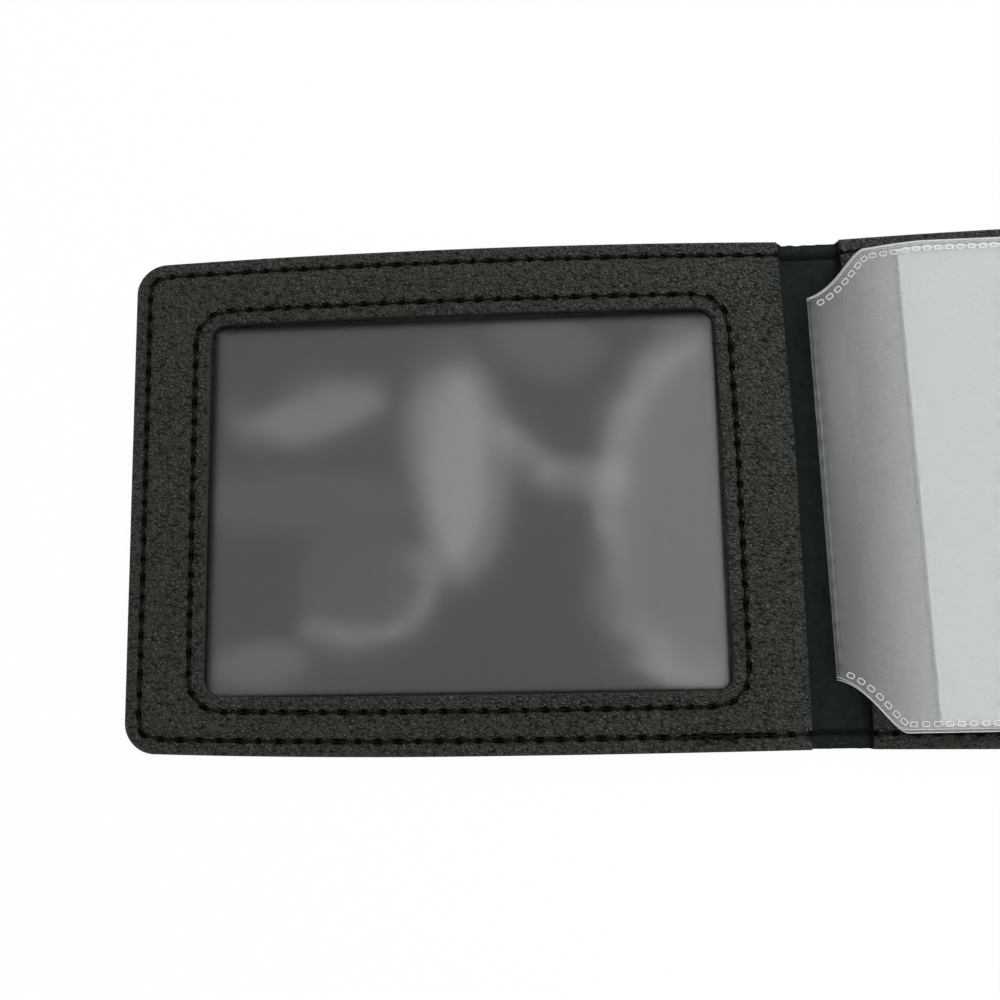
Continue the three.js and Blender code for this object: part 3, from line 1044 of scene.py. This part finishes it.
def show(owner, surface, kind="Material"):
    """Joins a surface to the output of a material or world, which is then complete."""
    output = owner.node_tree.nodes.new(f"ShaderNodeOutput{kind}")
    owner.node_tree.links.new(surface, output.inputs["Surface"])
    return owner


def leathercloth():
    """PU leathercloth, embossed with a fine pebble grain: satin hills parted by darker wrinkles.
    Painted shade deepens the wrinkles and dulls their gloss, and paints the needle holes and seam
    channels black."""
    finish, add = new_finish("leathercloth_pebble_embossed")
    place = add("TexCoord", {}, "Object")
    drift = add("TexNoise", {"Vector": place, "Scale": per_mm(0.9), "Detail": 2}, "Color")
    bent = add("VectorMath", {0: drift, 1: (0.6 * MM,) * 3, 2: place}, operation="MULTIPLY_ADD")
    across = add("Mapping", {"Vector": bent, "Scale": (0.7, 1.25, 1)})
    pebbles = add("TexVoronoi", {"Vector": across, "Scale": per_mm(0.57)}, "Distance",
                  feature="DISTANCE_TO_EDGE")
    creases = add("TexNoise", {"Vector": across, "Scale": per_mm(0.6), "Detail": 2}, "Fac")
    height = add_sum(add, "MULTIPLY_ADD", pebbles, 0.9, creases)
    hills = add("MapRange", {"Value": height, "From Min": 0.38, "From Max": 0.62, "To Min": 0.25},
                interpolation_type="SMOOTHSTEP")
    bump = add("Bump", {"Height": height, "Strength": 1.0, "Distance": 0.9 * MM})
    # Painted shade: needle holes and seam channels go black and lose their gloss where this mark is high.
    pressed_and_shaded = add_mark(add, "pressed_and_shaded")
    flat = add("MapRange", {"Value": pressed_and_shaded, "From Min": 0.25, "From Max": 0.6, "To Min": 1, "To Max": 0},
               interpolation_type="SMOOTHSTEP")
    # Low raised darkens the colour and gloss below: painted shade in the wrinkles, holes and channels.
    raised = add_sum(add, "MULTIPLY", hills, flat)
    colour = add_mix(add, raised, linear("#040503"), linear("#282e23"))
    gloss_with_painted_shade = add("MapRange", {"Value": raised, "To Min": 0.04, "To Max": 0.46})
    return show(finish, add("BsdfPrincipled", {"Base Color": colour, "Roughness": 0.48, "Normal": bump,
                                               "Specular IOR Level": gloss_with_painted_shade}))


def cut_leathercloth():
    """The cut edge of leathercloth: the coating's foam and cloth backing, dull and a little brown."""
    finish, add = new_finish("leathercloth_cut_edge")
    place = add("TexCoord", {}, "Object")
    fibres = add("TexNoise", {"Vector": place, "Scale": per_mm(0.5), "Detail": 3}, "Fac")
    colour = add_mix(add, fibres, linear("#0b0a09"), linear("#24211d"))
    bump = add("Bump", {"Height": fibres, "Strength": 0.5, "Distance": 0.1 * MM})
    return show(finish, add("BsdfPrincipled", {"Base Color": colour, "Roughness": 0.8, "Normal": bump}))


def brushed_lining():
    """Polyester lining cloth, woven and brushed: matte green-black with pale specks.
    Painted shade turns it black in its seam.
    """
    finish, add = new_finish("lining_cloth_woven")
    place = add("TexCoord", {}, "Object")
    nap = add("TexNoise", {"Vector": place, "Scale": per_mm(1.4), "Detail": 5, "Roughness": 0.7}, "Fac")
    threads = {"Vector": place, "Scale": per_mm(0.45) / 20, "Distortion": 2, "Detail": 2}
    weave = add("TexWave", threads, "Fac")
    cloth = add_mix(add, nap, linear("#030706"), linear("#202c27"))
    specks = add("TexVoronoi", {"Vector": place, "Scale": per_mm(0.9)}, "Distance")
    speck = add("MapRange", {"Value": specks, "From Min": 0.14, "From Max": 0.02, "To Max": 0.5})
    flecked = add_mix(add, speck, cloth, linear("#3c4a46"))
    # Painted shade: black along the seam's groove, where the mark is high.
    colour = add_mix(add, add_mark(add, "pressed_and_shaded"), flecked, linear("#010201"))
    height = add_sum(add, "ADD", nap, weave)
    bump = add("Bump", {"Height": height, "Strength": 0.6, "Distance": 0.08 * MM})
    return show(finish, add("BsdfPrincipled", {"Base Color": colour, "Roughness": 0.95, "Normal": bump,
                                               "Specular IOR Level": 0.15}))


def loose_fibre():
    """Polyester fibre worked loose from the lining: pale and dull, so that its hairs show on the cloth."""
    finish, add = new_finish("polyester_fibre_loose")
    return show(finish, add("BsdfPrincipled", {"Base Color": linear("#50554e"), "Roughness": 0.7}))


def black_thread():
    """Bonded polyester sewing thread, twisted: black, with faint light lines along its twist that are a
    painted highlight, standing in for its gloss.
    """
    finish, add = new_finish("polyester_thread_twisted")
    place = add("TexCoord", {}, "Object")
    twist = add("TexNoise", {"Vector": place, "Scale": per_mm(0.3), "Detail": 2}, "Fac")
    # The lighter twist lines are a painted highlight; the bump from the same noise is the real twist.
    colour = add_mix(add, twist, linear("#060706"), linear("#171a14"))
    bump = add("Bump", {"Height": twist, "Strength": 0.5, "Distance": 0.06 * MM})
    return show(finish, add("BsdfPrincipled", {"Base Color": colour, "Roughness": 0.9, "Normal": bump,
                                               "Specular IOR Level": 0.1}))


def clear_vinyl(name, haze, roughness):
    """Clear PVC film, calendered: see-through with a slight milky haze, and a gloss that grows towards
    grazing. Where its dull mark is high it loses gloss and haze: painted shade under the window's rim
    and at the leaves' puckers, and fainter weld marks."""
    finish, add = new_finish(name)
    facing = add("LayerWeight", {"Blend": 0.5}, "Facing")
    grazing = add_sum(add, "POWER", facing, 5.0)
    mirror = add_sum(add, "MULTIPLY_ADD", grazing, 1 - FACING_GLOSS, FACING_GLOSS)
    # The dull mark paints shade: it takes gloss and haze away under the window's rim and at the puckers.
    dull = add_mark(add, "dull")
    gloss_share = add("MapRange", {"Value": dull, "To Min": mirror, "To Max": 0})
    cloud = add("MapRange", {"Value": dull, "To Min": haze, "To Max": 0})
    clear = add("BsdfTransparent", {"Color": linear("#f7f8f8")})
    milk = add("BsdfDiffuse", {"Color": linear("#f0f2f2")})
    body = add("MixShader", {0: cloud, 1: clear, 2: milk})
    gloss = add("BsdfGlossy", {"Color": linear("#ffffff"), "Roughness": roughness})
    return show(finish, add("MixShader", {0: gloss_share, 1: body, 2: gloss}))


# Studio
def white_floor():
    """A white studio floor, which stays white to the eye and keeps a soft shadow of the holder."""
    finish, add = new_finish("studio_floor_white")
    seen = add("LightPath", {}, "Is Camera Ray")
    for ray in ("Is Glossy Ray", "Is Transmission Ray"):
        seen = add_sum(add, "MAXIMUM", seen, add("LightPath", {}, ray))
    share = add_sum(add, "MULTIPLY", seen, 0.97)
    matt = add("BsdfDiffuse", {"Color": linear("#f2f2f2")})
    white = add("Emission", {"Color": linear("#ffffff"), "Strength": 1.0})
    return show(finish, add("MixShader", {0: share, 1: matt, 2: white}))


# Lamps overhead, in metres: name, shape, middle in plan, size, turn in degrees, and how bright they look.
# The softbox on the right is brightest at its core. The small panels are what the window's film mirrors.
# They hang at slightly different heights, because lamps in one plane hide each other.
LAMP_HEIGHT = 0.45
STUDIO_LAMPS = [
    ("softbox_rim", "RECTANGLE", (0.342, 0.08), (0.456, 0.5), 0, 0.55),
    ("softbox_ring", "RECTANGLE", (0.349, 0.08), (0.442, 0.48), 0, 0.55),
    ("softbox_middle", "RECTANGLE", (0.354, 0.08), (0.432, 0.46), 0, 0.55),
    ("softbox_core", "RECTANGLE", (0.359, 0.08), (0.422, 0.44), 0, 0.55),
    ("round_panel", "ELLIPSE", (0.031, 0.07), (0.09, 0.21), 0, 1.1),
    ("tall_panel", "ELLIPSE", (-0.098, 0.094), (0.06, 0.14), 0, 1.0),
    ("tall_core", "ELLIPSE", (-0.1, 0.095), (0.036, 0.11), 0, 1.2),
    ("head_panel", "ELLIPSE", (-0.048, 0.17), (0.07, 0.04), -20, 0.45),
    ("corner_panel", "ELLIPSE", (-0.212, -0.016), (0.06, 0.024), 0, 0.7),
    ("middle_panel", "ELLIPSE", (-0.195, 0.078), (0.13, 0.035), 0, 0.3),
    ("disc_panel", "ELLIPSE", (-0.153, 0.029), (0.075, 0.07), 0, 0.3),
]

# Strips of light beside them, in metres: name, turns in plan, width, and how bright they look. Each piece
# of a strip is longer than its run by the lap.
LIGHT_STRIPS = [
    ("bar", [(-0.216, 0.125), (-0.148, 0.136)], 0.036, 1.3),
    ("link", [(-0.075, 0.118), (-0.047, 0.091), (-0.007, 0.086)], 0.018, 1.2),
    ("arc", [(0.047, 0.172), (0.021, 0.154), (0.001, 0.128), (-0.0075, 0.099), (-0.012, 0.062),
             (-0.013, 0.031), (-0.008, 0.003), (0.015, -0.013), (0.046, -0.028)], 0.014, 0.9),
    ("ring", [(-0.19, 0.006), (-0.166, -0.002), (-0.138, 0.002), (-0.123, 0.017), (-0.12, 0.034),
              (-0.129, 0.051)], 0.018, 0.8),
]
STRIP_LAP = 1.3

# The key lamp, which shines from the side and brings out the grain: place, size, and how bright it looks
KEY_LAMP = ((0.42, 0.4, 0.3), (0.3, 0.3), 8)


def add_lamp(name, shape, place, size, glow):
    """A lamp that looks as bright as its glow, facing down."""
    lamp = bpy.data.lights.new(name, "AREA")
    lamp.shape = shape
    lamp.size, lamp.size_y = size
    area = lamp.size * lamp.size_y * (math.pi / 4 if shape == "ELLIPSE" else 1)
    lamp.energy = glow * math.pi * area
    panel = bpy.data.objects.new(name, lamp)
    panel.location = place
    bpy.context.scene.collection.objects.link(panel)
    return panel


def strip_lamps():
    """The lamps of the strips of light: an ellipse from each turn to the next, lapping its neighbours."""
    lamps = []
    for name, turns, width, glow in LIGHT_STRIPS:
        for count, (near, far) in enumerate(zip(turns, turns[1:])):
            run = Vector(far) - Vector(near)
            middle = (Vector(near) + Vector(far)) / 2
            size = (run.length * STRIP_LAP, width)
            turn = math.degrees(math.atan2(run.y, run.x))
            lamps.append((f"{name}_strip_{count}", "ELLIPSE", middle, size, turn, glow))
    return lamps


# The floor, in metres: its size, and its level just under the cover
FLOOR_SIZE = 6
FLOOR_LEVEL = -0.00005


def make_studio():
    """The floor, an even surround, and the lamps."""
    floor = start_sheet("studio_floor", (0, 0, FLOOR_LEVEL), FLOOR_SIZE, FLOOR_SIZE)
    close()
    floor.data.materials.append(white_floor())
    world, add = clear_nodes(bpy.data.worlds.new("studio_surround"))
    bpy.context.scene.world = world
    seen = add("LightPath", {}, "Is Camera Ray")
    surround = add("Background", {"Color": linear("#ffffff"), "Strength": 0.5})
    white = add("Background", {"Color": linear("#ffffff"), "Strength": 1.0})
    show(world, add("MixShader", {0: seen, 1: surround, 2: white}), "World")
    for layer, (name, shape, middle, size, turn, glow) in enumerate(STUDIO_LAMPS + strip_lamps()):
        panel = add_lamp(name, shape, (*middle, LAMP_HEIGHT + layer * MM), size, glow)
        panel.rotation_euler.z = math.radians(turn)
    place, size, glow = KEY_LAMP
    key = add_lamp("key", "RECTANGLE", place, size, glow)
    key.rotation_euler = Vector(place).to_track_quat("Z", "Y").to_euler()


def make_camera():
    """The camera, where the photographed corners of the left panel and the window put it."""
    focal_px, image_px = 1100, 1000
    distance = 164.044
    elevation, azimuth, roll = (math.radians(angle) for angle in (79.876, 19.864, -21.062))
    target = Vector((-47.299, -0.642, 0))
    level = math.cos(elevation)
    back = Vector((level * math.sin(azimuth), -level * math.cos(azimuth), math.sin(elevation)))
    right = (-back).cross(Vector((0, 0, 1))).normalized()
    up = right.cross(-back)
    level_right = math.cos(roll) * right + math.sin(roll) * up
    level_up = math.cos(roll) * up - math.sin(roll) * right
    data = bpy.data.cameras.new("camera")
    data.sensor_width = 36
    data.lens = data.sensor_width * focal_px / image_px
    data.clip_start = 0.01
    camera = bpy.data.objects.new("camera", data)
    turn = Matrix((level_right, level_up, back)).transposed().to_4x4()
    camera.matrix_world = Matrix.Translation((target + distance * back) * MM) @ turn
    bpy.context.scene.collection.objects.link(camera)
    bpy.context.scene.camera = camera


def main():
    """Dresses the frame and lights it."""
    leather = leathercloth()
    cut_edge = cut_leathercloth()
    make_outer_cover(leather, cut_edge)
    make_lining(brushed_lining())
    make_fibres(loose_fibre())
    make_window_panel(leather, cut_edge)
    make_pocket_panel(leather, cut_edge)
    make_stitches(black_thread())
    film_edge = clear_vinyl("pvc_film_cut_edge", 0.55, 0.3)
    make_window_film(clear_vinyl("pvc_window_film_calendered", 0.025, 0.085), film_edge)
    leaf_film = clear_vinyl("pvc_leaf_film_calendered", 0.02, 0.1)
    # Weld haze: partly the marks' own frosting, partly a painted glint on their rims.
    weld = clear_vinyl("pvc_film_welded_painted_glint", 0.9, 0.3)
    faint_weld = clear_vinyl("pvc_film_welded_faint", 0.2, 0.3)
    make_binding(leaf_film, film_edge)
    make_leaf(2, "lower_leaf", LEAF_STAGGER, leaf_film, film_edge, faint_weld)
    make_leaf(1, "upper_leaf", 0, leaf_film, film_edge, weld)
    make_studio()
    make_camera()
    bpy.context.scene.view_settings.view_transform = "Standard"
    bpy.context.scene.cycles.transparent_max_bounces = 32


main()
